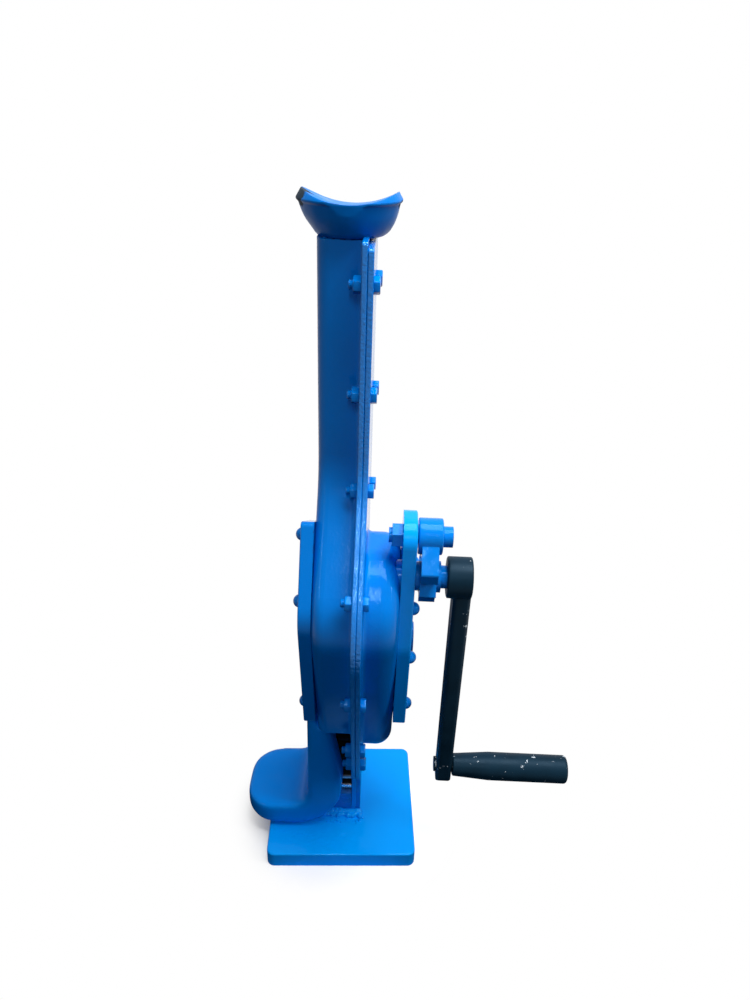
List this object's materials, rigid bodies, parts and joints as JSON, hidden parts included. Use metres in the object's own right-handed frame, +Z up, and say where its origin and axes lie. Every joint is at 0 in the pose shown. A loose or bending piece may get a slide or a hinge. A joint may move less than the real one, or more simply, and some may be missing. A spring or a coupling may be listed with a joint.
{
  "type": "track jack",
  "caption": "Rack-and-pinion track jack: a crank-driven housing with a saddle head and low toe climbs a toothed rack on a square base plate.",
  "frame": {"origin": "middle of the base plate's underside", "axes": "+Z up along the rack, +X towards the crank and grip, -Y towards the gear-case nose"},
  "size_m": [0.366, 0.2147, 0.735],
  "materials": {
    "blue_enamel": "glossy enamel",
    "black_enamel": "worn satin black",
    "bare_steel": "machined, greased",
    "bush_bronze": "machined"
  },
  "bodies": {
    "base": {"base_plate": "blue_enamel", "rack": "bare_steel", "foot_weld": "blue_enamel"},
    "housing": {"left_shell": "blue_enamel", "right_shell": "blue_enamel", "left_bearing_plate": "blue_enamel", "right_bearing_plate": "blue_enamel", "left_plate_rivets": "blue_enamel", "right_plate_rivets": "blue_enamel", "left_bushes": "bush_bronze", "right_bushes": "bush_bronze", "flange_bolts": "blue_enamel", "flange_nuts": "blue_enamel", "guide_strip": "blue_enamel", "guide_screws": "blue_enamel", "head": "blue_enamel", "toe": "blue_enamel", "pawl_bolt": "blue_enamel", "pawl_nut": "blue_enamel", "pawl_spacer": "blue_enamel"},
    "crank": {"crank_shaft": "bare_steel", "crank_end_bolt": "black_enamel", "ratchet_wheel": "blue_enamel", "crank_arm": "black_enamel", "grip_pin": "black_enamel"},
    "grip": {"grip": "black_enamel"},
    "intermediate": {"intermediate_shaft": "bare_steel", "intermediate_gear": "bare_steel"},
    "rack_pinion": {"rack_pinion_shaft": "bare_steel", "main_gear": "bare_steel"},
    "pawl": {"pawl": "blue_enamel"}
  },
  "joints": [
    {"name": "housing_lift", "type": "slide", "parent": "base", "child": "housing", "axis": [0, 0, 1], "range_m": [0, 0.35]},
    {"name": "crank_turn", "type": "hinge", "parent": "housing", "child": "crank", "pos_m": [0.06, -0.058, 0.40238], "axis": [-1, 0, 0], "range_deg": [0, 9500]},
    {"name": "intermediate_turn", "type": "hinge", "parent": "housing", "child": "intermediate", "pos_m": [0.03, -0.04, 0.36526], "axis": [-1, 0, 0], "range_deg": [-3564, 0]},
    {"name": "rack_pinion_turn", "type": "hinge", "parent": "housing", "child": "rack_pinion", "pos_m": [0, -0.0325, 0.308], "axis": [-1, 0, 0], "range_deg": [0, 1337]},
    {"name": "grip_spin", "type": "hinge", "parent": "crank", "child": "grip", "pos_m": [0.19, -0.058, 0.15238], "axis": [1, 0, 0], "continuous": true},
    {"name": "pawl_flip", "type": "hinge", "parent": "housing", "child": "pawl", "pos_m": [0.082, -0.06, 0.448], "axis": [-1, 0, 0], "range_deg": [0, 75]}
  ],
  "couplings": [
    {"joint": "housing_lift", "follows": "crank_turn", "m_per_rad": 0.0021094},
    {"joint": "intermediate_turn", "follows": "crank_turn", "ratio": -0.375},
    {"joint": "rack_pinion_turn", "follows": "crank_turn", "ratio": 0.14062}
  ]
}
